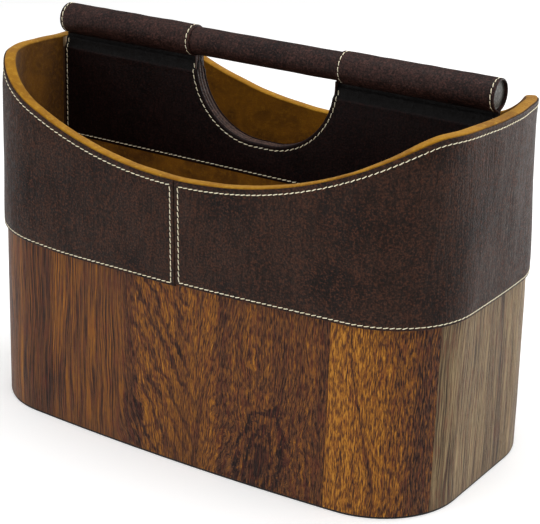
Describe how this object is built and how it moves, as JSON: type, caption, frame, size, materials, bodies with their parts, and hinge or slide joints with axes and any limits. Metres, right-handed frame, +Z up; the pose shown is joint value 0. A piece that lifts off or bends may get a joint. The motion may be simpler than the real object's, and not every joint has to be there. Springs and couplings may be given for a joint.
{
  "type": "magazine rack",
  "caption": "Rounded wooden magazine rack with a leather upper band, a curved rim, a divider with a hand hole and a round leather handle",
  "frame": {"origin": "Centre of the footprint, at the surface the rack stands on", "axes": "+X along the length and the handle, +Y across the width from the front face to the back face, +Z up"},
  "size_m": [0.405, 0.232, 0.3038],
  "materials": {
    "base_cover": "black backing cloth",
    "board": "raw fibreboard",
    "veneer_dark": "satin walnut veneer, dark brown with figure",
    "veneer_warm": "satin walnut veneer, orange brown with straight grain",
    "veneer_grey": "satin walnut veneer, grey brown with straight grain",
    "foam": "dark foam backing",
    "leather": "dark brown grained leather, satin",
    "leather_edge": "dark brown leather, turned edge",
    "suede": "ochre suede lining, matt",
    "suede_rim": "ochre suede edge roll, matt",
    "dowel": "plain wood",
    "screw": "zinc plated"
  },
  "bodies": {
    "root": {"base_cover": "base_cover", "base_board": "board", "wall_front": "board", "wall_back": "board", "wall_left": "board", "wall_right": "board", "corner_front_left": "board", "corner_front_right": "board", "corner_back_left": "board", "corner_back_right": "board", "veneer_front": "veneer_dark", "veneer_back": "veneer_dark", "veneer_left": "veneer_grey", "veneer_right": "veneer_grey", "veneer_front_left": "veneer_dark", "veneer_front_right": "veneer_warm", "veneer_back_left": "veneer_warm", "veneer_back_right": "veneer_dark", "band_padding": "foam", "leather_left": "leather", "leather_right": "leather", "lining_front": "suede", "lining_back": "suede", "rim_suede": "suede_rim", "floor_front": "suede", "floor_back": "suede", "divider_core": "board", "divider_leather": "leather", "hole_binding": "leather_edge", "divider_suede_front": "suede", "divider_suede_back": "suede", "handle_dowel": "dowel", "grip_cover": "leather", "end_disc_left": "leather_edge", "end_disc_right": "leather_edge", "divider_screws": "screw"}
  },
  "joints": []
}
